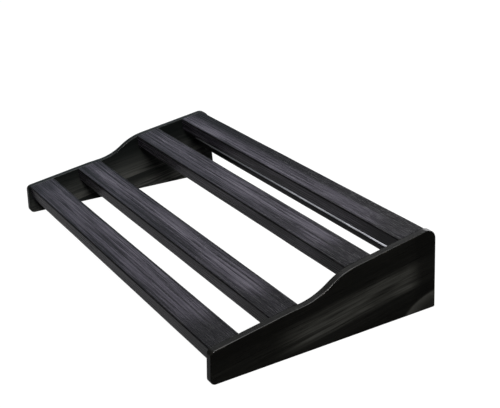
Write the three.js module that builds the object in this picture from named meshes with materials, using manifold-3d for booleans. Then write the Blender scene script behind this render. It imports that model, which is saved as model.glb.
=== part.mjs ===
// Two-tier wooden pedalboard: two side panels with an S-curved top edge, four slats doweled between them,
// and a flat steel tie bar under the rear slat. Millimetres, +Z up.
// X runs along the slats, Y from the player's side to the rear. The origin is the centre of the footprint.
import * as THREE from 'three';
import { mergeVertices } from 'three/addons/utils/BufferGeometryUtils.js';
import Module from 'manifold-3d';

// Overall size
const BOARD_WIDTH = 560;
const BOARD_DEPTH = 332;
const PANEL_THICKNESS = 9.5;

// Side panel outline, seen from the side: y counted from the front edge, z from the floor
const RAMP_SLOPE = 0.17;
const LOWER_RAMP_START = 43;
const UPPER_RAMP_START = 60.5;
const REAR_EDGE_LEAN = 0.1;
const SCOOP_START_Y = 105;
const SCOOP_DEPTH = 2;
const S_FOOT_Y = 143;
const S_CREST_Y = 179;
const S_FOOT_RADIUS = 85;
const S_CREST_RADIUS = 90;
const FRONT_CORNER_RADIUS = 7;
const REAR_TOP_RADIUS = 15;
const REAR_BOTTOM_RADIUS = 2;

// Slats
const SLAT_WIDTH = 40;
const SLAT_THICKNESS = 20;
const SLAT_ARRIS_RADIUS = 1.5;
const LOWER_TIER_FRONTS = [2.5, 82];
const UPPER_TIER_FRONTS = [187, 269.5];

// Blind dowels, two at each end of each slat
const DOWEL_DIAMETER = 6;
const DOWEL_IN_PANEL = 6.5;
const DOWEL_IN_SLAT = 21.5;
const DOWEL_SPACING = 20;

// Flat tie bar, lying level, its ends let into blind mortises in the side panels
const TIE_BAR_WIDTH = 20;
const TIE_BAR_THICKNESS = 8;
const TIE_BAR_EDGE_RADIUS = 0.6;
const TIE_BAR_IN_PANEL = 6;
const TIE_BAR_FRONT_Y = 295;
const TIE_BAR_TOP_Z = 68.7;

// Clearance round a piece in its hole, and past its end
const HOLE_CLEARANCE = 0.3;
const ROUND_SIDES = 24;
const ARC_STEPS = 6;

const INNER_X = BOARD_WIDTH / 2 - PANEL_THICKNESS;

const wasm = await Module();
wasm.setup();

const blackWood = new THREE.MeshStandardMaterial({ color: 0x1b1a1c, roughness: 0.38, metalness: 0 });
const beech = new THREE.MeshStandardMaterial({ color: 0xc89a63, roughness: 0.7, metalness: 0 });
const blackSteel = new THREE.MeshStandardMaterial({ color: 0x121214, roughness: 0.45, metalness: 0.6 });

// A manifold solid with the shape of a closed geometry
function toSolid(geometry) {
  const bare = geometry.clone();
  bare.deleteAttribute('normal');
  bare.deleteAttribute('uv');
  const merged = mergeVertices(bare);
  return new wasm.Manifold(new wasm.Mesh({
    numProp: 3,
    vertProperties: new Float32Array(merged.attributes.position.array),
    triVerts: new Uint32Array(merged.index.array),
  }));
}

// A geometry less the given cutters
function cutAway(geometry, cutters) {
  let solid = toSolid(geometry);
  for (const cutter of cutters) {
    solid = solid.subtract(toSolid(cutter));
  }
  const mesh = solid.getMesh();
  const result = new THREE.BufferGeometry();
  result.setAttribute('position', new THREE.BufferAttribute(new Float32Array(mesh.vertProperties), 3));
  result.setIndex(new THREE.BufferAttribute(new Uint32Array(mesh.triVerts), 1));
  result.computeVertexNormals();
  return result;
}

// A shape through corners { point, radius }, each rounded with a tangent arc
function roundedShape(corners) {
  const shape = new THREE.Shape();
  corners.forEach(({ point, radius }, i) => {
    const before = corners.at(i - 1).point.clone().sub(point).normalize();
    const after = corners[(i + 1) % corners.length].point.clone().sub(point).normalize();
    const half = Math.acos(before.dot(after)) / 2;
    const reach = radius / Math.tan(half);
    const start = before.clone().multiplyScalar(reach).add(point);
    const end = after.clone().multiplyScalar(reach).add(point);
    const centre = before.clone().add(after).setLength(radius / Math.sin(half)).add(point);
    if (i === 0) {
      shape.moveTo(start.x, start.y);
    } else {
      shape.lineTo(start.x, start.y);
    }
    const clockwise = before.cross(after) > 0;
    const startAngle = start.sub(centre).angle();
    const endAngle = end.sub(centre).angle();
    shape.absarc(centre.x, centre.y, radius, startAngle, endAngle, clockwise);
  });
  shape.closePath();
  return shape;
}

// A side-view shape (y, z) made solid from xLow over the given length
function alongX(shape, xLow, length) {
  const geometry = new THREE.ExtrudeGeometry(shape, {
    depth: length,
    bevelEnabled: false,
    curveSegments: ARC_STEPS,
  });
  const sideView = new THREE.Matrix4().makeBasis(
    new THREE.Vector3(0, 1, 0),
    new THREE.Vector3(0, 0, 1),
    new THREE.Vector3(1, 0, 0),
  );
  geometry.applyMatrix4(sideView);
  geometry.translate(xLow, -BOARD_DEPTH / 2, 0);
  return geometry;
}

// A round bar along X between xLow and xHigh, at a side-view point
function barAlongX(diameter, xLow, xHigh, at) {
  const geometry = new THREE.CylinderGeometry(diameter / 2, diameter / 2, xHigh - xLow, ROUND_SIDES);
  geometry.rotateZ(-Math.PI / 2);
  geometry.translate((xLow + xHigh) / 2, at.x - BOARD_DEPTH / 2, at.y);
  return geometry;
}

function onLowerRamp(y) {
  return new THREE.Vector2(y, LOWER_RAMP_START + RAMP_SLOPE * y);
}

function onUpperRamp(y) {
  return new THREE.Vector2(y, UPPER_RAMP_START + RAMP_SLOPE * y);
}

function panelShape() {
  const rearTopHeight = (UPPER_RAMP_START + RAMP_SLOPE * BOARD_DEPTH) / (1 + RAMP_SLOPE * REAR_EDGE_LEAN);
  const sFoot = onLowerRamp(S_FOOT_Y);
  sFoot.y -= SCOOP_DEPTH;
  return roundedShape([
    { point: new THREE.Vector2(0, 0), radius: FRONT_CORNER_RADIUS },
    { point: new THREE.Vector2(BOARD_DEPTH, 0), radius: REAR_BOTTOM_RADIUS },
    { point: onUpperRamp(BOARD_DEPTH - REAR_EDGE_LEAN * rearTopHeight), radius: REAR_TOP_RADIUS },
    { point: onUpperRamp(S_CREST_Y), radius: S_CREST_RADIUS },
    { point: sFoot, radius: S_FOOT_RADIUS },
    { point: onLowerRamp(SCOOP_START_Y), radius: S_FOOT_RADIUS },
    { point: onLowerRamp(0), radius: FRONT_CORNER_RADIUS },
  ]);
}

// Directions in a slat's own section: back along its top face, and down through its thickness
const alongTop = new THREE.Vector2(1, RAMP_SLOPE).normalize();
const downThrough = new THREE.Vector2(alongTop.y, -alongTop.x);

// A side-view point in a slat, from the top of its front face
function inSlat(frontTop, back, down) {
  return frontTop.clone().addScaledVector(alongTop, back).addScaledVector(downThrough, down);
}

function slatShape(frontTop) {
  const corners = [
    inSlat(frontTop, 0, SLAT_THICKNESS),
    inSlat(frontTop, SLAT_WIDTH, SLAT_THICKNESS),
    inSlat(frontTop, SLAT_WIDTH, 0),
    frontTop,
  ];
  return roundedShape(corners.map((point) => ({ point, radius: SLAT_ARRIS_RADIUS })));
}

const slats = [...LOWER_TIER_FRONTS.map(onLowerRamp), ...UPPER_TIER_FRONTS.map(onUpperRamp)].map(
  (frontTop, i) => ({ name: `slat_${i + 1}`, frontTop }),
);
const sides = [{ name: 'left', sign: -1 }, { name: 'right', sign: 1 }];

const board = new THREE.Group();

function addPiece(name, geometry, material) {
  const mesh = new THREE.Mesh(geometry, material);
  mesh.name = name;
  board.add(mesh);
}

// A bar across the joint between a panel and what butts against it, grown by a clearance for its hole
function barAtJoint(diameter, sign, inPanel, inBoard, at, clearance) {
  const outer = sign * (INNER_X + inPanel + clearance);
  const inner = sign * (INNER_X - inBoard - clearance);
  return barAlongX(diameter + 2 * clearance, Math.min(outer, inner), Math.max(outer, inner), at);
}

const dowels = slats.flatMap(({ name, frontTop }) => sides.flatMap((side) => {
  const rows = [{ name: 'front', offset: -DOWEL_SPACING / 2 }, { name: 'rear', offset: DOWEL_SPACING / 2 }];
  return rows.map((row) => ({
    name: `dowel_${name}_${side.name}_${row.name}`,
    slat: name,
    sign: side.sign,
    at: inSlat(frontTop, SLAT_WIDTH / 2 + row.offset, SLAT_THICKNESS / 2),
  }));
}));

function dowelBar(dowel, clearance) {
  return barAtJoint(DOWEL_DIAMETER, dowel.sign, DOWEL_IN_PANEL, DOWEL_IN_SLAT, dowel.at, clearance);
}

function dowelHole(dowel) {
  return dowelBar(dowel, HOLE_CLEARANCE);
}

// The tie bar, grown by a clearance for its mortises
function tieBar(clearance) {
  const low = new THREE.Vector2(TIE_BAR_FRONT_Y, TIE_BAR_TOP_Z - TIE_BAR_THICKNESS).subScalar(clearance);
  const high = new THREE.Vector2(TIE_BAR_FRONT_Y + TIE_BAR_WIDTH, TIE_BAR_TOP_Z).addScalar(clearance);
  const corners = [low, new THREE.Vector2(high.x, low.y), high, new THREE.Vector2(low.x, high.y)];
  const end = INNER_X + TIE_BAR_IN_PANEL + clearance;
  const section = roundedShape(corners.map((point) => ({ point, radius: TIE_BAR_EDGE_RADIUS })));
  return alongX(section, -end, 2 * end);
}

// Side panels, with blind holes for the dowels and mortises for the tie bar
const tieBarMortises = tieBar(HOLE_CLEARANCE);
for (const side of sides) {
  const xLow = side.sign > 0 ? INNER_X : -BOARD_WIDTH / 2;
  const blank = alongX(panelShape(), xLow, PANEL_THICKNESS);
  const holes = dowels.filter((dowel) => dowel.sign === side.sign).map(dowelHole);
  addPiece(`${side.name}_side_panel`, cutAway(blank, [...holes, tieBarMortises]), blackWood);
}

// Slats, butting against the panels, with blind holes in their ends
for (const { name, frontTop } of slats) {
  const blank = alongX(slatShape(frontTop), -INNER_X, 2 * INNER_X);
  const holes = dowels.filter((dowel) => dowel.slat === name).map(dowelHole);
  addPiece(name, cutAway(blank, holes), blackWood);
}

// Dowels
for (const dowel of dowels) {
  addPiece(dowel.name, dowelBar(dowel, 0), beech);
}

// Tie bar
addPiece('rear_tie_bar', tieBar(0), blackSteel);

export default board;
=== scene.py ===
"""Looks of the two-tier wooden pedalboard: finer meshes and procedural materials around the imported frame."""
import math

import bmesh
import bpy
from mathutils import Matrix, Vector, geometry, kdtree, noise


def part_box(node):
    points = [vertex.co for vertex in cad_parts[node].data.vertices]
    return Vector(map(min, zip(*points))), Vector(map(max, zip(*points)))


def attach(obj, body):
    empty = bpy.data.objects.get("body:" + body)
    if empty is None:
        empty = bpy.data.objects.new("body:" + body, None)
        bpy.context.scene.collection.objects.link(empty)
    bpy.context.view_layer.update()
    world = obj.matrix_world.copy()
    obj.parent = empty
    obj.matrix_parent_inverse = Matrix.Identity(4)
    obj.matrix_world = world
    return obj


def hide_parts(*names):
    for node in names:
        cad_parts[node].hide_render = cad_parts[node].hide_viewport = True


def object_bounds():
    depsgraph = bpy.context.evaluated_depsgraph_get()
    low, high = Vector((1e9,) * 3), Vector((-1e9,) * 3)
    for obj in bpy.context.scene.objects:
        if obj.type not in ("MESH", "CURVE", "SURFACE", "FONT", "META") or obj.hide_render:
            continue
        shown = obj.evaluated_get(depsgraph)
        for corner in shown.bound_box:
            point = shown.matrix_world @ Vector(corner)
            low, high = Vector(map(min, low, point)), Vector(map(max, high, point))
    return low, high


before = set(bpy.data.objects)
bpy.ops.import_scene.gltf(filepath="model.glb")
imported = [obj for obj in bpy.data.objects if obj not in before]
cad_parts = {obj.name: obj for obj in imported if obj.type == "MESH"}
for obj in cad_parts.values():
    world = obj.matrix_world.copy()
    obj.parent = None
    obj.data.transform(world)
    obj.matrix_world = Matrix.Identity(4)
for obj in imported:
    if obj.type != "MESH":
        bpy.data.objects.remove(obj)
cad_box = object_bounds()
scene = bpy.context.scene
MM = 0.001

# ---------------------------------------------------------------- dimensions, in metres
BOARD_DEPTH = 332 * MM
RAMP_SLOPE = 0.17
LOWER_RAMP_START = 43 * MM
UPPER_RAMP_START = 60.5 * MM
REAR_EDGE_LEAN = 0.1
SCOOP_START_Y = 105 * MM
SCOOP_DEPTH = 2 * MM
S_FOOT_Y = 143 * MM
S_CREST_Y = 179 * MM
S_FOOT_RADIUS = 85 * MM
S_CREST_RADIUS = 90 * MM
FRONT_CORNER_RADIUS = 7 * MM
REAR_TOP_RADIUS = 15 * MM
REAR_BOTTOM_RADIUS = 2 * MM
SLAT_WIDTH = 40 * MM
SLAT_THICKNESS = 20 * MM
SLAT_ARRIS = 1.5 * MM
PANEL_OUTER_ARRIS = 1.3 * MM
PANEL_INNER_ARRIS = 0.7 * MM
# Distance from a rounded arris to the ring of vertices that keeps the flat beside it flat
SUPPORT = 0.5 * MM
SLAT_END_CHAMFER = 0.3 * MM
SLAT_STATIONS = 90
SLAT_DIP = 0.07 * MM
TIE_BAR_EDGE = 0.6 * MM
TIE_BAR_CHAMFER = 0.4 * MM
TIE_BAR_STATIONS = 80
EDGE_RIPPLE = 0.05 * MM
PANEL_SWELL = 0.10 * MM
# Triangles that fill a panel's face: their size, a row's height as a share of it, and the gap to the rim
CAP_SPACING = 9 * MM
ROW_SHARE = 0.87
CAP_MARGIN = 4 * MM
DOWEL_FLUTES = 18
FLUTE_DEPTH = 0.22 * MM
HOLE_CLEARANCE = 0.3 * MM
# An outline's arcs are cut by angle, above this radius by length too, and its straight edges by length
SMALL_RADIUS = 20 * MM
STRAIGHT_STEP = 6 * MM
ARC_STEP = 2 * MM
ARC_ANGLE_STEP = math.radians(8)
SHARP_ANGLE = math.radians(38)

ALONG_TOP = Vector((0, 1, RAMP_SLOPE)).normalized()
DOWN_THROUGH = Vector((0, ALONG_TOP.z, -ALONG_TOP.y))
SLATS = ["slat_1", "slat_2", "slat_3", "slat_4"]
PANELS = {"left_side_panel": -1, "right_side_panel": 1}
DOWELS = sorted(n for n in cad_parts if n.startswith("dowel_"))


# ---------------------------------------------------------------- node helpers
def add(tree, kind, values=None, **settings):
    """A new node with its settings, each input set to a value or linked to a socket."""
    made = tree.nodes.new(kind)
    for key, value in settings.items():
        setattr(made, key, value)
    for key, value in (values or {}).items():
        if isinstance(value, bpy.types.NodeSocket):
            tree.links.new(value, made.inputs[key])
        else:
            made.inputs[key].default_value = value
    return made


def math_node(tree, operation, a, b=0.0, clamp=False):
    return add(tree, "ShaderNodeMath", {0: a, 1: b}, operation=operation, use_clamp=clamp).outputs[0]


def product(tree, a, b):
    return math_node(tree, "MULTIPLY", a, b)


def total_of(tree, a, b):
    return math_node(tree, "ADD", a, b)


def vector_node(tree, operation, a, b):
    return add(tree, "ShaderNodeVectorMath", {0: a, 1: b}, operation=operation)


def smooth_range(tree, value, low, high, to_low=0.0, to_high=1.0):
    return add(
        tree,
        "ShaderNodeMapRange",
        {"Value": value, "From Min": low, "From Max": high, "To Min": to_low, "To Max": to_high},
        interpolation_type="SMOOTHSTEP",
    ).outputs["Result"]


def linear_range(tree, value, low, high):
    values = {"Value": value, "From Min": low, "From Max": high}
    return add(tree, "ShaderNodeMapRange", values).outputs["Result"]


def ramp(tree, factor, stops):
    """A colour ramp from (position, grey or colour) stops."""
    made = add(tree, "ShaderNodeValToRGB", {"Fac": factor})
    elements = made.color_ramp.elements
    while len(elements) < len(stops):
        elements.new(0.5)
    for element, (position, value) in zip(elements, stops):
        element.position = position
        rgb = value if isinstance(value, tuple) else (value, value, value)
        element.color = (*rgb, 1.0)
    return made.outputs["Color"]


def mix_colours(tree, factor, first, second):
    """From one colour to another, each a socket or a fixed colour."""
    made = add(tree, "ShaderNodeMix", {"Factor": factor}, data_type="RGBA")
    for socket, value in zip((made.inputs[6], made.inputs[7]), (first, second)):
        if isinstance(value, bpy.types.NodeSocket):
            tree.links.new(value, socket)
        else:
            socket.default_value = value
    return made.outputs[2]


def noise_at(tree, vector, scales, detail=3.0, rough=0.55, offset=(0, 0, 0)):
    """Noise of a vector stretched by three scales, per metre."""
    stretched = vector_node(tree, "MULTIPLY", vector, scales).outputs[0]
    moved = vector_node(tree, "ADD", stretched, offset).outputs[0]
    values = {"Vector": moved, "Scale": 1.0, "Detail": detail, "Roughness": rough}
    return add(tree, "ShaderNodeTexNoise", values).outputs["Fac"]


def new_material(name):
    material = bpy.data.materials.new(name)
    material.use_nodes = True
    material.node_tree.nodes.clear()
    return material, material.node_tree


def grain_space(tree, origin, along, across, through):
    """Position in a board's own axes: along its grain, across it, and through its thickness."""
    position = add(tree, "ShaderNodeTexCoord").outputs["Object"]
    local = vector_node(tree, "SUBTRACT", position, origin).outputs[0]
    axes = (along, across, through)
    parts = [vector_node(tree, "DOT_PRODUCT", local, axis).outputs["Value"] for axis in axes]
    return add(tree, "ShaderNodeCombineXYZ", dict(enumerate(parts))).outputs[0], parts


# Grain noise of the stained wood: features per metre along the grain, and across and through it
WANDER_SCALE = (5.0, 14.0, 14.0)
BROAD_SCALE = (7.0, 190.0, 190.0)
STREAK_SCALE = (16.0, 700.0, 700.0)
PORE_SCALE = (70.0, 2600.0, 2600.0)
PATCH_SCALE = (9.0, 30.0, 30.0)
RUB_SCALE = (60.0, 160.0, 160.0)

# Shares of the grain's layers in its light and dark, and how far that goes below and above the plain stain
BROAD_SHARE = 0.50
STREAK_SHARE = 0.44
PATCH_SHARE = 0.22
STAIN_SWING = (0.25, 1.75)

# Growth rings are drawn out along the grain. The wave texture turns by 20 radians per unit at scale 1.
RING_SQUEEZE = (0.12, 1.0, 1.0)
WAVE_RADIANS = 20
BARE_WOOD = (0.075, 0.066, 0.058, 1)
WOOD_IOR = 1.5
COAT_ROUGHNESS = 0.1


def growth_rings(tree, bent, look):
    pith = vector_node(tree, "ADD", bent, look["pith"]).outputs[0]
    squeezed = vector_node(tree, "MULTIPLY", pith, RING_SQUEEZE).outputs[0]
    return add(
        tree,
        "ShaderNodeTexWave",
        {
            "Vector": squeezed,
            "Scale": 2 * math.pi / (WAVE_RADIANS * look["ring_spacing"]),
            "Distortion": 2.2,
            "Detail": 2.0,
            "Detail Scale": 0.35,
            "Detail Roughness": 0.5,
        },
        wave_type="RINGS",
        rings_direction="X",
        wave_profile="SAW",
    ).outputs["Fac"]


def painted_light_band(tree, across, through, look):
    """How light the colour is at a place across the board, as bands of painted sheen and painted shade, with
    its own share on a slat's sides.
    """
    painted_band = ramp(tree, linear_range(tree, across, *look["span"]), look["bands"])
    if "side_share" not in look:
        return painted_band
    on_top = smooth_range(tree, through, 1.0 * MM, 2.5 * MM, 1.0, 0.0)
    on_side = math_node(tree, "SUBTRACT", 1.0, on_top)
    return total_of(tree, product(tree, painted_band, on_top), product(tree, on_side, look["side_share"]))


def stained_wood(name, origin, along, across, through, look):
    """Black-stained wood under a thin satin finish, with painted sheen and painted shade in its colour."""
    material, tree = new_material(name)
    seed = look["seed"]
    grain, (a, b, c) = grain_space(tree, origin, along, across, through)
    wander = noise_at(tree, grain, WANDER_SCALE, 2.0, 0.5, (seed, 3.1, 0.7))
    bend = product(tree, math_node(tree, "SUBTRACT", wander, 0.5), look["wander"])
    bent_b = total_of(tree, b, bend)
    bent = add(tree, "ShaderNodeCombineXYZ", {0: a, 1: bent_b, 2: c}).outputs[0]

    broad = noise_at(tree, bent, BROAD_SCALE, 3.0, 0.55, (seed, seed * 2.0, 1.3))
    streaks = noise_at(tree, bent, STREAK_SCALE, 3.0, 0.6, (seed * 3.0, 0.4, seed))
    pores = noise_at(tree, bent, PORE_SCALE, 1.0, 0.5, (0.2, seed, 4.4))
    patches = noise_at(tree, grain, PATCH_SCALE, 2.0, 0.5, (seed * 1.7, 5.0, 2.0))
    rings = growth_rings(tree, bent, look)

    painted_band = painted_light_band(tree, bent_b, c, look)
    # Painted shade towards each end of a board: the colour drops to a share of itself there
    (first, first_full, first_share), (last_full, last, last_share) = look["ends"]
    near = smooth_range(tree, a, first, first_full, first_share, 1.0)
    far = smooth_range(tree, a, last_full, last, 1.0, last_share)
    arris = add(tree, "ShaderNodeAttribute", attribute_name="arris").outputs["Fac"]
    # Painted shade: the colour darkens on the arrises, standing in for the dark reflections along them
    painted_arris_shade = smooth_range(tree, arris, 0.1, 0.9, 1.0, look["arris_painted_shade"])

    mixed = product(tree, broad, BROAD_SHARE)
    mixed = total_of(tree, mixed, product(tree, streaks, STREAK_SHARE))
    mixed = total_of(tree, mixed, product(tree, rings, look["ring_weight"]))
    mixed = total_of(tree, mixed, product(tree, patches, PATCH_SHARE))
    contrast = smooth_range(tree, mixed, *look["contrast"], *STAIN_SWING)
    amount = product(tree, contrast, painted_band)
    amount = product(tree, amount, product(tree, near, far))
    if "corner" in look:
        amount = total_of(tree, amount, corner_patch(tree, grain, look["corner"]))
    amount = product(tree, amount, painted_arris_shade)
    colour = ramp(tree, amount, look["colours"])

    rubbed = noise_at(tree, grain, RUB_SCALE, 3.0, 0.6, (seed, 7.0, 1.0))
    rub = product(tree, arris, smooth_range(tree, rubbed, 0.52, 0.72))
    worn = mix_colours(tree, product(tree, rub, look["wear"]), colour, BARE_WOOD)

    rough = product(tree, math_node(tree, "SUBTRACT", streaks, 0.5), 0.30)
    rough = total_of(tree, rough, look["roughness"])
    polish = product(tree, arris, look["arris_polish"])
    rough = math_node(tree, "SUBTRACT", rough, polish, clamp=True)

    height = total_of(tree, product(tree, streaks, 0.7), product(tree, broad, 0.8))
    pits = smooth_range(tree, pores, 0.60, 0.74, 0.0, -0.6)
    height = total_of(tree, height, pits)
    bump = add(tree, "ShaderNodeBump", {"Height": height, "Strength": 0.8, "Distance": 0.1 * MM})
    shader = add(
        tree,
        "ShaderNodeBsdfPrincipled",
        {
            "Base Color": worn,
            "Roughness": rough,
            "IOR": WOOD_IOR,
            "Specular IOR Level": look["specular"],
            "Coat Weight": look["coat"],
            "Coat Roughness": COAT_ROUGHNESS,
            "Normal": bump.outputs["Normal"],
        },
    )
    add(tree, "ShaderNodeOutputMaterial", {"Surface": shader.outputs[0]})
    return material


# Stain colours from the darkest grain to the lightest. Their tints are painted light: purple-grey on the
# slats, olive on the right panel and teal-grey on the left, each the tint of the room's light falling on it.
BLACKS = [(0.0, (0.0022, 0.0020, 0.0026)), (0.5, (0.051, 0.047, 0.060)), (1.0, (0.104, 0.097, 0.118))]
OLIVES = [(0.0, (0.0060, 0.0060, 0.0052)), (0.5, (0.045, 0.045, 0.040)), (1.0, (0.100, 0.100, 0.092))]
TEAL_GREYS = [(0.0, (0.0058, 0.0076, 0.0074)), (0.5, (0.048, 0.050, 0.047)), (1.0, (0.105, 0.106, 0.098))]

# Painted highlight: how far the tie bar's top face is bare bright metal, along its length
BAR_PAINTED_HIGHLIGHT = [(0.0, 0.30), (0.12, 0.25), (0.3, 0.6), (0.5, 1.0)]

# Strength of each slat's own gloss
SLAT_SPECULAR = {"slat_1": 0.46, "slat_2": 0.46, "slat_3": 0.44, "slat_4": 0.36}

# Painted sheen across each slat, front arris to rear arris: lighter bands where the top catches the room's
# light, and painted dark lines along the arrises
SLAT_PAINTED_SHEEN = {
    "slat_1": [(0.02, 0.03), (0.07, 0.28), (0.5, 0.38), (0.82, 0.46), (0.91, 0.38), (0.96, 0.03)],
    "slat_2": [
        (0.02, 0.03), (0.07, 0.19), (0.2, 0.19), (0.48, 0.64), (0.8, 0.34), (0.91, 0.2), (0.96, 0.03),
    ],
    "slat_3": [
        (0.02, 0.03), (0.07, 0.20), (0.18, 0.21), (0.45, 0.56), (0.8, 0.44), (0.91, 0.3), (0.96, 0.03),
    ],
    "slat_4": [(0.02, 0.04), (0.07, 0.50), (0.15, 0.62), (0.48, 0.32), (0.68, 0.05), (1.0, 0.02)],
}

# Painted light and shade up each panel, from its lower edge to its upper: lighter where a face catches more
# light, darker on the rims and where it lies in shade
LEFT_PANEL_PAINTED_LIGHT = [(0.0, 0.80), (0.36, 0.66), (0.54, 0.30), (0.66, 0.12), (0.75, 0.04), (1.0, 0.03)]
RIGHT_PANEL_PAINTED_LIGHT = [
    (0.0, 0.04), (0.2, 0.07), (0.30, 0.55), (0.46, 0.52), (0.64, 0.40), (0.74, 0.06), (1.0, 0.03),
]


def corner_patch(tree, grain, centre):
    """A lighter arch of grain round a point of a board."""
    away = vector_node(tree, "SUBTRACT", grain, centre).outputs[0]
    flat = vector_node(tree, "MULTIPLY", away, (0.5, 1.0, 0.0)).outputs[0]
    distance = vector_node(tree, "LENGTH", flat, (0, 0, 0)).outputs["Value"]
    inside = smooth_range(tree, distance, 24.5 * MM, 28 * MM, 1.0, 0.0)
    return product(tree, inside, smooth_range(tree, distance, 10 * MM, 26 * MM, 0.25, 0.75))


def slat_material(name, front_top, half_length):
    number = int(name[-1])
    look = {
        "seed": 3.7 * number,
        "wander": 3 * MM,
        "pith": (0.0, -0.01 + 0.013 * number, 0.045 + 0.006 * number),
        "ring_spacing": 3.4 * MM,
        "ring_weight": 0.12,
        "span": (0.0, SLAT_WIDTH),
        "bands": SLAT_PAINTED_SHEEN[name],
        "side_share": 0.6,
        # painted shade: a little darker by the left panel, much darker towards the right end
        "ends": (
            (-half_length + 0.008, -half_length + 0.05, 0.65),
            (half_length - 0.085, half_length - 0.03, 0.10),
        ),
        "contrast": (0.51, 0.77),
        "arris_painted_shade": 0.08,
        "arris_polish": 0.0,
        "specular": SLAT_SPECULAR[name],
        "coat": 0.0,
        "colours": BLACKS,
        "wear": 0.12,
        "roughness": 0.26,
    }
    return stained_wood(f"black_wood_{name}", front_top, Vector((1, 0, 0)), ALONG_TOP, DOWN_THROUGH, look)


def panel_material(name, origin):
    look = {
        "wander": 10 * MM,
        "pith": (0.0, -0.02, 0.03),
        "ring_spacing": 5.5 * MM,
        "ring_weight": 0.16,
        "contrast": (0.55, 0.81),
        "arris_painted_shade": 0.4,
        "arris_polish": 0.15,
        "specular": 0.15,
        "coat": 0.4,
        "colours": OLIVES,
        "wear": 0.3,
        "roughness": 0.34,
    }
    if name.startswith("left"):
        look["seed"] = 21.3
        look["colours"] = TEAL_GREYS
        look["span"] = (-0.05, 0.07)
        look["bands"] = LEFT_PANEL_PAINTED_LIGHT
        look["ends"] = ((0.0, 0.03, 0.8), (0.30, 0.33, 0.6))
    else:
        look["seed"] = 33.9
        look["span"] = (-0.03, 0.05)
        look["bands"] = RIGHT_PANEL_PAINTED_LIGHT
        look["ends"] = ((0.08, 0.14, 0.12), (0.285, 0.31, 0.12))
        look["corner"] = (0.327, -0.056, 0.0)
    return stained_wood(f"black_wood_{name}", origin, ALONG_TOP, -DOWN_THROUGH, Vector((1, 0, 0)), look)


def beech_material():
    material, tree = new_material("beech_dowel")
    grain, _ = grain_space(tree, (0, 0, 0), (1, 0, 0), (0, 1, 0), (0, 0, 1))
    flecks = noise_at(tree, grain, (260.0, 2400.0, 2400.0), 2.0, 0.5)
    figure = noise_at(tree, grain, (30.0, 500.0, 500.0), 3.0, 0.6, (4, 1, 2))
    base = ramp(tree, figure, [(0.25, (0.42, 0.24, 0.12)), (0.75, (0.62, 0.40, 0.22))])
    dark = smooth_range(tree, flecks, 0.58, 0.70)
    mixed = mix_colours(tree, dark, base, (0.27, 0.13, 0.06, 1))
    bump = add(tree, "ShaderNodeBump", {"Height": figure, "Strength": 0.4, "Distance": 0.00004})
    rough = total_of(tree, product(tree, figure, 0.2), 0.5)
    shader = add(
        tree,
        "ShaderNodeBsdfPrincipled",
        {"Base Color": mixed, "Roughness": rough, "Normal": bump.outputs["Normal"]},
    )
    add(tree, "ShaderNodeOutputMaterial", {"Surface": shader.outputs[0]})
    return material


def steel_material(top_z, half_length):
    """Blackened steel with a painted highlight on its top face: bare bright metal, more towards the right end.
    """
    material, tree = new_material("blackened_steel")
    grain, (along, _, height) = grain_space(tree, (0, 0, 0), (1, 0, 0), (0, 1, 0), (0, 0, 1))
    drawn = noise_at(tree, grain, (12.0, 1900.0, 1900.0), 3.0, 0.6)
    mottled = noise_at(tree, grain, (160.0, 220.0, 220.0), 4.0, 0.6, (3, 5, 1))
    black = ramp(tree, mottled, [(0.3, (0.006, 0.006, 0.007)), (0.7, (0.016, 0.0155, 0.017))])
    highlight_colour = ramp(tree, drawn, [(0.3, (0.66, 0.67, 0.70)), (0.7, (0.86, 0.87, 0.90))])
    on_top = smooth_range(tree, height, top_z - 0.5 * MM, top_z - 0.15 * MM)
    share = math_node(tree, "DIVIDE", total_of(tree, along, half_length), 2 * half_length)
    # Painted highlight: the top face turns to bright bare metal, growing towards the right end
    rubbed = ramp(tree, share, BAR_PAINTED_HIGHLIGHT)
    painted_highlight = product(tree, on_top, rubbed)
    colour = mix_colours(tree, painted_highlight, black, highlight_colour)
    rough = total_of(tree, product(tree, drawn, 0.2), 0.2)
    bump = add(tree, "ShaderNodeBump", {"Height": drawn, "Strength": 0.3, "Distance": 0.00002})
    shader = add(
        tree,
        "ShaderNodeBsdfPrincipled",
        {
            "Base Color": colour,
            "Metallic": painted_highlight,
            "Roughness": rough,
            "Normal": bump.outputs["Normal"],
        },
    )
    add(tree, "ShaderNodeOutputMaterial", {"Surface": shader.outputs[0]})
    return material


# ---------------------------------------------------------------- mesh helpers
def finish_piece(name, bm, material, node, arris=None, cutter=None):
    """The bmesh as a piece that stands for a CAD node, less its cutter, with an arris weight on its vertices
    that drives both wear and painted arris shade.
    """
    bmesh.ops.recalc_face_normals(bm, faces=bm.faces)
    mesh = bpy.data.meshes.new(name)
    bm.to_mesh(mesh)
    bm.free()
    piece = bpy.data.objects.new(name, mesh)
    scene.collection.objects.link(piece)
    if cutter is not None:
        holes = piece.modifiers.new("holes", "BOOLEAN")
        holes.operation = "DIFFERENCE"
        holes.solver = "EXACT"
        holes.object = cutter
        bpy.context.view_layer.update()
        cut = bpy.data.meshes.new_from_object(piece.evaluated_get(bpy.context.evaluated_depsgraph_get()))
        piece.modifiers.clear()
        piece.data = cut
        bpy.data.meshes.remove(mesh)
        cut.name = name
        bpy.data.objects.remove(cutter)
    if arris:
        tree = kdtree.KDTree(len(arris))
        for i, (co, _) in enumerate(arris):
            tree.insert(co, i)
        tree.balance()
        values = [arris[tree.find(v.co)[1]][1] for v in piece.data.vertices]
        piece.data.attributes.new("arris", "FLOAT", "POINT").data.foreach_set("value", values)
    piece.data.materials.clear()
    piece.data.materials.append(material)
    piece.data.polygons.foreach_set("use_smooth", [True] * len(piece.data.polygons))
    piece.data.set_sharp_from_angle(angle=SHARP_ANGLE)
    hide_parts(node)
    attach(piece, "root")
    return piece


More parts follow.
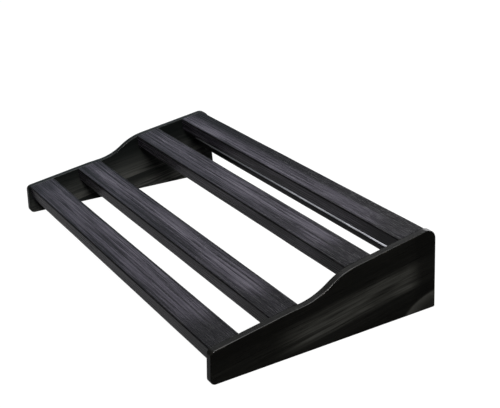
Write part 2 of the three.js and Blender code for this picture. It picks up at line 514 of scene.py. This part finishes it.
def hole_cutter(names):
    """Cylinders round the given dowels, larger by their clearance."""
    bm = bmesh.new()
    for name in names:
        low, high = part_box(name)
        centre = (low + high) / 2
        length = high.x - low.x + 2 * HOLE_CLEARANCE
        radius = (high.z - low.z) / 2 + HOLE_CLEARANCE
        place = Matrix.Translation(centre) @ Matrix.Rotation(math.pi / 2, 4, "Y")
        bmesh.ops.create_cone(
            bm, cap_ends=True, segments=32, radius1=radius, radius2=radius, depth=length, matrix=place
        )
    mesh = bpy.data.meshes.new("cutter")
    bm.to_mesh(mesh)
    bm.free()
    cutter = bpy.data.objects.new("cutter", mesh)
    scene.collection.objects.link(cutter)
    cutter.hide_render = True
    return cutter


def add_block(cutter, name):
    """A block round the given bar, larger by its clearance, added to a cutter."""
    low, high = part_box(name)
    bm = bmesh.new()
    bm.from_mesh(cutter.data)
    grow = Vector((1, 1, 1)) * HOLE_CLEARANCE
    size = high - low + 2 * grow
    place = Matrix.Translation((low + high) / 2) @ Matrix.Diagonal((*size, 1.0))
    bmesh.ops.create_cube(bm, size=1.0, matrix=place)
    bm.to_mesh(cutter.data)
    bm.free()


def join_rings(bm, rings):
    """Quads between rings of vertices, each ring closed on itself."""
    for near, far in zip(rings, rings[1:]):
        count = len(near)
        for i in range(count):
            j = (i + 1) % count
            bm.faces.new((near[i], near[j], far[j], far[i]))


def close_tube(bm, rings):
    """Rings joined into a closed solid with a face at each end."""
    join_rings(bm, rings)
    bm.faces.new(rings[0])
    bm.faces.new(list(reversed(rings[-1])))


def rounded_outline(corners):
    """Points and outward normals round an outline whose corners are tangent arcs."""
    arcs = []
    count = len(corners)
    for i, (point, radius) in enumerate(corners):
        before = (corners[i - 1][0] - point).normalized()
        after = (corners[(i + 1) % count][0] - point).normalized()
        half = math.acos(before.dot(after)) / 2
        reach = radius / math.tan(half)
        start, end = point + before * reach, point + after * reach
        centre = point + (before + after).normalized() * (radius / math.sin(half))
        outward = 1 if before.x * after.y - before.y * after.x < 0 else -1
        from_angle = math.atan2(*(start - centre).yx)
        sweep = math.atan2(*(end - centre).yx) - from_angle
        sweep = (sweep + math.pi) % (2 * math.pi) - math.pi
        steps = math.ceil(abs(sweep) / ARC_ANGLE_STEP)
        if radius >= SMALL_RADIUS:
            steps = max(3, math.ceil(abs(sweep) * radius / ARC_STEP), steps)
        points = []
        for k in range(steps + 1):
            angle = from_angle + sweep * k / steps
            ray = Vector((math.cos(angle), math.sin(angle)))
            points.append((centre + ray * radius, ray * outward))
        arcs.append(points)
    outline = []
    for i, points in enumerate(arcs):
        outline.extend(points)
        a, b = points[-1][0], arcs[(i + 1) % count][0][0]
        normal = points[-1][1]
        pieces = max(1, math.ceil((b - a).length / STRAIGHT_STEP))
        outline.extend((a.lerp(b, k / pieces), normal) for k in range(1, pieces))
    return outline


def on_upper(y):
    return Vector((y, UPPER_RAMP_START + RAMP_SLOPE * y))


def on_lower(y):
    return Vector((y, LOWER_RAMP_START + RAMP_SLOPE * y))


def panel_outline():
    """The side view of a panel, with y counted from its front edge."""
    rear_top_z = on_upper(BOARD_DEPTH).y / (1 + RAMP_SLOPE * REAR_EDGE_LEAN)
    corners = [
        (Vector((0, 0)), FRONT_CORNER_RADIUS),
        (Vector((BOARD_DEPTH, 0)), REAR_BOTTOM_RADIUS),
        (on_upper(BOARD_DEPTH - REAR_EDGE_LEAN * rear_top_z), REAR_TOP_RADIUS),
        (on_upper(S_CREST_Y), S_CREST_RADIUS),
        (on_lower(S_FOOT_Y) - Vector((0, SCOOP_DEPTH)), S_FOOT_RADIUS),
        (on_lower(SCOOP_START_Y), S_FOOT_RADIUS),
        (on_lower(0), FRONT_CORNER_RADIUS),
    ]
    return rounded_outline(corners)


def arris_rings(radius, face, towards, steps=5):
    """(inset, x, arris weight) of the rings over a rounded arris, from the flat face to the rim; the weight
    drives wear and painted arris shade.
    """
    rings = [(radius + SUPPORT, face, 0.15), (radius, face, 0.7)]
    for k in range(1, steps + 1):
        angle = math.pi / 2 * k / steps
        rings.append((radius * (1 - math.sin(angle)), face + towards * radius * (1 - math.cos(angle)), 1.0))
    rings.append((0.0, face + towards * (radius + SUPPORT), 0.15))
    return rings


def build_panel(name, sign):
    """A side panel with rounded arrises, a slight swell on its outer face and a ripple along its edge."""
    low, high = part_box(name)
    outer, inner = (high.x, low.x) if sign > 0 else (low.x, high.x)
    outline = panel_outline()
    inward = -sign
    seed = 10.0 * sign
    rings = arris_rings(PANEL_OUTER_ARRIS, outer, inward)
    rings.append((0.0, (outer + inner) / 2, 0.0))
    rings += reversed(arris_rings(PANEL_INNER_ARRIS, inner, -inward))
    bm = bmesh.new()
    arris = []

    def place(x, point):
        y, z = low.y + point.x, point.y
        share = (x - inner) / (outer - inner)
        swell = noise.noise(Vector((y / 0.055, z / 0.03, seed))) * PANEL_SWELL * share
        return Vector((x + sign * swell, y, z))

    made = []
    for inset, x, wear in rings:
        ring = []
        for point, normal in outline:
            ripple = noise.noise(Vector((point.x / 0.03, point.y / 0.03, seed + x * 40))) * EDGE_RIPPLE
            on_foot = normal.y < -0.5
            if on_foot:
                ripple = 0.0
            at = place(x, point - normal * (inset + abs(ripple)))
            ring.append(bm.verts.new(at))
            arris.append((at, wear))
        made.append(ring)
    join_rings(bm, made)
    for ring, x in ((made[0], outer), (made[-1], inner)):
        cap(bm, ring, lambda y, z, x=x: place(x, Vector((y - low.y, z))))
    material = panel_material(name, Vector((0, low.y, 0)))
    cutter = hole_cutter([n for n in DOWELS if ("_right_" in n) == (sign > 0)])
    add_block(cutter, "rear_tie_bar")
    return finish_piece(f"{name}_wood", bm, material, name, arris, cutter)


def cap(bm, ring, place):
    """Fills a ring in a plane of constant x with even triangles."""
    loop = [Vector((v.co.y, v.co.z)) for v in ring]
    low = Vector((min(p.x for p in loop), min(p.y for p in loop)))
    high = Vector((max(p.x for p in loop), max(p.y for p in loop)))
    count = len(loop)

    def clear(p):
        inside = False
        for i in range(count):
            a, b = loop[i], loop[(i + 1) % count]
            if (a.y > p.y) != (b.y > p.y) and p.x < (b.x - a.x) * (p.y - a.y) / (b.y - a.y) + a.x:
                inside = not inside
            along = b - a
            share = max(0.0, min(1.0, (p - a).dot(along) / along.length_squared)) if along.length else 0.0
            if (a + along * share - p).length < CAP_MARGIN:
                return False
        return inside

    inner_points = []
    row = 0
    z = low.y + CAP_SPACING / 2
    while z < high.y:
        y = low.x + CAP_SPACING * (0.5 if row % 2 else 1.0)
        while y < high.x:
            point = Vector((y, z))
            if clear(point):
                inner_points.append(point)
            y += CAP_SPACING
        z += CAP_SPACING * ROW_SHARE
        row += 1
    edges = [(i, (i + 1) % count) for i in range(count)]
    points, _, faces, origins, _, _ = geometry.delaunay_2d_cdt(loop + inner_points, edges, [], 1, 1e-7)
    verts = []
    for point, sources in zip(points, origins):
        first = sources[0]
        verts.append(ring[first] if first < count else bm.verts.new(place(point.x, point.y)))
    for face in faces:
        bm.faces.new([verts[i] for i in face])


# The arrises round a slat's section: corner, start of its arc in degrees, way in, way out, flats after it
SLAT_CORNERS = [
    ((0, 0), 180, Vector((0, -1)), Vector((1, 0)), 10),
    ((SLAT_WIDTH, 0), 270, Vector((1, 0)), Vector((0, 1)), 5),
    ((SLAT_WIDTH, SLAT_THICKNESS), 0, Vector((0, 1)), Vector((-1, 0)), 6),
    ((0, SLAT_THICKNESS), 90, Vector((-1, 0)), Vector((0, -1)), 5),
]
ARC_SPREAD = [15 * i for i in range(7)]


def slat_section(radii):
    """(across, down, arris weight) round a slat, with its own radius at each of the four arrises; the weight
    drives wear and painted arris shade.
    """
    section = []
    for k, ((corner, start, came, into, flats), radius) in enumerate(zip(SLAT_CORNERS, radii)):
        centre = Vector((abs(corner[0] - radius), abs(corner[1] - radius)))
        rays = [math.radians(start + turn) for turn in ARC_SPREAD]
        arc = [centre + Vector((math.cos(ray), math.sin(ray))) * radius for ray in rays]
        section.append((arc[0] - came * SUPPORT, 0.15))
        section.extend((p, 1.0) for p in arc)
        flat_start = arc[-1] + into * SUPPORT
        section.append((flat_start, 0.15))
        after = (k + 1) % len(SLAT_CORNERS)
        flat_end = Vector(SLAT_CORNERS[after][0]) - into * (radii[after] + SUPPORT)
        section.extend((flat_start.lerp(flat_end, i / flats), 0.0) for i in range(1, flats))
    return section


def build_slat(name):
    """A slat with uneven arrises, chamfered ends and a slightly dished top."""
    low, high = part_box(name)
    centre = (low + high) / 2
    half = (high.x - low.x) / 2
    number = int(name[-1])
    middle = Vector((0, centre.y, centre.z))
    front_top = middle - ALONG_TOP * (SLAT_WIDTH / 2) - DOWN_THROUGH * (SLAT_THICKNESS / 2)
    stations = [-half + SLAT_END_CHAMFER]
    stations += [-half + 2 * half * k / SLAT_STATIONS for k in range(1, SLAT_STATIONS)]
    stations.append(half - SLAT_END_CHAMFER)
    bm = bmesh.new()
    arris = []

    def ring_at(x, inset):
        radii = []
        for k in range(4):
            uneven = 0.35 * noise.noise(Vector((x / 0.07, 5.0 * k, 3.0 * number)))
            radii.append(SLAT_ARRIS * (1.0 + uneven))
        ring = []
        for point, wear in slat_section(radii):
            across, down = point
            if inset:
                away = point - Vector((SLAT_WIDTH / 2, SLAT_THICKNESS / 2))
                across -= math.copysign(min(inset, abs(away.x)), away.x)
                down -= math.copysign(min(inset, abs(away.y)), away.y)
            on_top = max(0.0, 1.0 - down / (2 * MM))
            edge = min(across, SLAT_WIDTH - across) / (4 * MM)
            dip = noise.noise(Vector((x / 0.09, across / 0.018, 7.0 * number))) * SLAT_DIP
            down += on_top * min(1.0, max(0.0, edge)) * (0.03 * MM + dip)
            at = front_top + Vector((x, 0, 0)) + ALONG_TOP * across + DOWN_THROUGH * down
            ring.append(bm.verts.new(at))
            arris.append((at, wear))
        return ring

    rings = [ring_at(-half, SLAT_END_CHAMFER)]
    rings += [ring_at(x, 0.0) for x in stations]
    rings.append(ring_at(half, SLAT_END_CHAMFER))
    close_tube(bm, rings)
    material = slat_material(name, front_top, half)
    cutter = hole_cutter([n for n in DOWELS if n.startswith(f"dowel_{name}_")])
    return finish_piece(f"{name}_wood", bm, material, name, arris, cutter)


def lathe_x(profile, centre, segments, groove):
    """A closed round solid along X from (x, radius) steps, with each radius less groove(angle, x)."""
    bm = bmesh.new()
    rings = []
    for x, radius in profile:
        ring = []
        for i in range(segments):
            angle = 2 * math.pi * i / segments
            r = radius - groove(angle, x)
            ring.append(bm.verts.new((x, centre.y + r * math.cos(angle), centre.z + r * math.sin(angle))))
        rings.append(ring)
    close_tube(bm, rings)
    return bm


def build_tie_bar():
    """A flat bar with softened edges that ripple a little along its length, and chamfered ends."""
    low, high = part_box("rear_tie_bar")
    length = high.x - low.x
    inner_low = (low.y + TIE_BAR_EDGE, low.z + TIE_BAR_EDGE)
    inner_high = (high.y - TIE_BAR_EDGE, high.z - TIE_BAR_EDGE)
    corners = (
        (inner_high[0], inner_high[1], 0),
        (inner_low[0], inner_high[1], 90),
        (inner_low[0], inner_low[1], 180),
        (inner_high[0], inner_low[1], 270),
    )
    stations = [(low.x, TIE_BAR_CHAMFER), (low.x + TIE_BAR_CHAMFER, 0.0)]
    stations += [(low.x + length * k / TIE_BAR_STATIONS, 0.0) for k in range(1, TIE_BAR_STATIONS)]
    stations += [(high.x - TIE_BAR_CHAMFER, 0.0), (high.x, TIE_BAR_CHAMFER)]
    bm = bmesh.new()
    rings = []
    for x, inset in stations:
        ring = []
        for y, z, start in corners:
            for i in range(5):
                angle = math.radians(start + 22.5 * i)
                ripple = abs(noise.noise(Vector((x / 0.03, start, i * 0.3)))) * 0.04 * MM
                reach = TIE_BAR_EDGE - inset - ripple
                ring.append(bm.verts.new((x, y + reach * math.cos(angle), z + reach * math.sin(angle))))
        rings.append(ring)
    close_tube(bm, rings)
    material = steel_material(high.z, length / 2)
    return finish_piece("rear_tie_bar_steel", bm, material, "rear_tie_bar")


def build_dowel(name, material):
    """A fluted dowel with rounded ends, the flutes fading out before them."""
    low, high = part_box(name)
    centre, radius = (low + high) / 2, (high.z - low.z) / 2
    ends = [
        (0.0, radius - 0.9 * MM),
        (0.25 * MM, radius - 0.6 * MM),
        (1.1 * MM, radius),
        (1.5 * MM, radius),
    ]
    middle = [low.x + (high.x - low.x) * k / 8 for k in range(1, 8)]
    profile = [(low.x + x, r) for x, r in ends] + [(x, radius) for x in middle]
    profile += [(high.x - x, r) for x, r in reversed(ends)]

    def flutes(angle, x):
        share = min(1.0, max(0.0, (min(x - low.x, high.x - x) - 0.6 * MM) / (0.9 * MM)))
        return FLUTE_DEPTH * share * max(0.0, math.cos(angle * DOWEL_FLUTES)) ** 2

    bm = lathe_x(profile, centre, 144, flutes)
    return finish_piece(f"{name}_wood", bm, material, name)


for panel, panel_sign in PANELS.items():
    build_panel(panel, panel_sign)
for slat in SLATS:
    build_slat(slat)
build_tie_bar()
beech = beech_material()
for dowel in DOWELS:
    build_dowel(dowel, beech)


# ---------------------------------------------------------------- stage, light and camera
def pale_material(name, glow_share):
    """A pale matt surface under an even glow, so that it stays white in the shade."""
    material, tree = new_material(name)
    pale = add(tree, "ShaderNodeBsdfDiffuse", {"Color": (0.85, 0.85, 0.85, 1)})
    glow = add(tree, "ShaderNodeEmission", {"Color": (1, 1, 1, 1), "Strength": 1.06})
    shader = add(tree, "ShaderNodeMixShader", {0: glow_share, 1: pale.outputs[0], 2: glow.outputs[0]})
    add(tree, "ShaderNodeOutputMaterial", {"Surface": shader.outputs[0]})
    return material


def stage_piece(name, bm, material):
    """A piece of the stage that lights nothing and isn't mirrored in the board."""
    mesh = bpy.data.meshes.new(name)
    bm.to_mesh(mesh)
    bm.free()
    mesh.materials.append(material)
    piece = bpy.data.objects.new(name, mesh)
    piece.visible_glossy = False
    piece.visible_diffuse = False
    scene.collection.objects.link(piece)
    return piece


BACKDROP_RADIUS = 11.5
BACKDROP_HEIGHT = 16
FLOOR_HALF_SIZE = 12


def make_stage():
    """A pale floor just under the board, and a pale round wall that casts no shadow."""
    bm = bmesh.new()
    bmesh.ops.create_grid(bm, x_segments=2, y_segments=2, size=FLOOR_HALF_SIZE)
    floor = stage_piece("floor", bm, pale_material("pale_floor", 0.94))
    floor.location.z = cad_box[0].z - 0.2 * MM
    bm = bmesh.new()
    bmesh.ops.create_cone(
        bm,
        cap_ends=False,
        segments=64,
        radius1=BACKDROP_RADIUS,
        radius2=BACKDROP_RADIUS,
        depth=BACKDROP_HEIGHT,
    )
    backdrop = stage_piece("backdrop", bm, pale_material("pale_backdrop", 1.0))
    backdrop.location.z = BACKDROP_HEIGHT / 2 - 0.1
    backdrop.visible_shadow = False


def make_world():
    """A dim room with soft glows: (axis, cosine at its edge, cosine at its core, colour)."""
    world = bpy.data.worlds.new("soft_room")
    scene.world = world
    world.use_nodes = True
    tree = world.node_tree
    tree.nodes.clear()
    direction = add(tree, "ShaderNodeTexCoord").outputs["Generated"]
    total = add(tree, "ShaderNodeCombineXYZ", {0: 0.02, 1: 0.02, 2: 0.02}).outputs[0]
    lobes = [
        # broad and cool, up at the rear left
        ((-0.77, 0.34, 0.54), 0.72, 0.98, (0.125, 0.125, 0.14)),
        # low at the front left
        ((-0.77, -0.34, -0.54), 0.80, 0.98, (0.18, 0.18, 0.185)),
        # the ceiling
        ((0.0, 0.0, 1.0), 0.3, 0.9, (0.05, 0.05, 0.05)),
        # a low bright window at the rear, which the tie bar's top face mirrors
        ((-0.545, 0.779, 0.309), 0.925, 0.975, (2.3, 2.3, 2.35)),
        # a faint teal glow at the left
        ((-0.95, 0.20, 0.25), 0.90, 0.99, (0.0, 0.035, 0.04)),
    ]
    for axis, fade, full, colour in lobes:
        towards = vector_node(tree, "DOT_PRODUCT", direction, Vector(axis).normalized()).outputs["Value"]
        strength = smooth_range(tree, towards, fade, full)
        values = {0: colour, "Scale": strength}
        glow = add(tree, "ShaderNodeVectorMath", values, operation="SCALE").outputs[0]
        total = vector_node(tree, "ADD", total, glow).outputs[0]
    background = add(tree, "ShaderNodeBackground", {"Color": total, "Strength": 1.0})
    add(tree, "ShaderNodeOutputWorld", {"Surface": background.outputs[0]})


def area_light(name, location, target, size, power, colour):
    data = bpy.data.lights.new(name, "AREA")
    data.shape = "RECTANGLE"
    data.size, data.size_y = size
    data.energy = power
    data.color = colour
    light = bpy.data.objects.new(name, data)
    light.location = location
    aim = (Vector(target) - Vector(location)).normalized()
    light.rotation_mode = "QUATERNION"
    light.rotation_quaternion = aim.to_track_quat("-Z", "Y")
    scene.collection.objects.link(light)


make_stage()
make_world()
area_light("overhead_softbox", (-0.1, 0.1, 2.2), (0, 0, 0), (1.8, 1.8), 41, (1.0, 1.0, 1.0))
area_light("front_right_lamp", (1.81, -0.83, 1.88), (0.28, 0, 0.09), (1.2, 0.35), 40, (1.0, 0.99, 0.97))
area_light("rear_fill", (-0.36, 2.28, 0.95), (0, 0.1, 0.06), (1.0, 1.0), 22, (1.0, 1.0, 1.0))

# Where the camera stands: azimuth from the front towards the right end, elevation and roll
AZIMUTH, ELEVATION, ROLL = map(math.radians, (57.01, 23.56, 0.44))
TARGET = Vector((0.1001, 0.0, 0.1143))
DISTANCE = 1.19067
camera_data = bpy.data.cameras.new("camera")
camera_data.sensor_width = 36.0
camera_data.lens = 66.55
camera = bpy.data.objects.new("camera", camera_data)
scene.collection.objects.link(camera)
scene.camera = camera
back = Vector(
    (
        math.sin(AZIMUTH) * math.cos(ELEVATION),
        -math.cos(AZIMUTH) * math.cos(ELEVATION),
        math.sin(ELEVATION),
    )
)
level = Vector((-back.y, back.x, 0)).normalized()
upright = back.cross(level)
right_axis = level * math.cos(ROLL) + upright * math.sin(ROLL)
up_axis = upright * math.cos(ROLL) - level * math.sin(ROLL)
camera_place = Matrix((right_axis, up_axis, back)).transposed().to_4x4()
camera_place.translation = TARGET + back * DISTANCE
camera.matrix_world = camera_place

scene.view_settings.view_transform = "Standard"
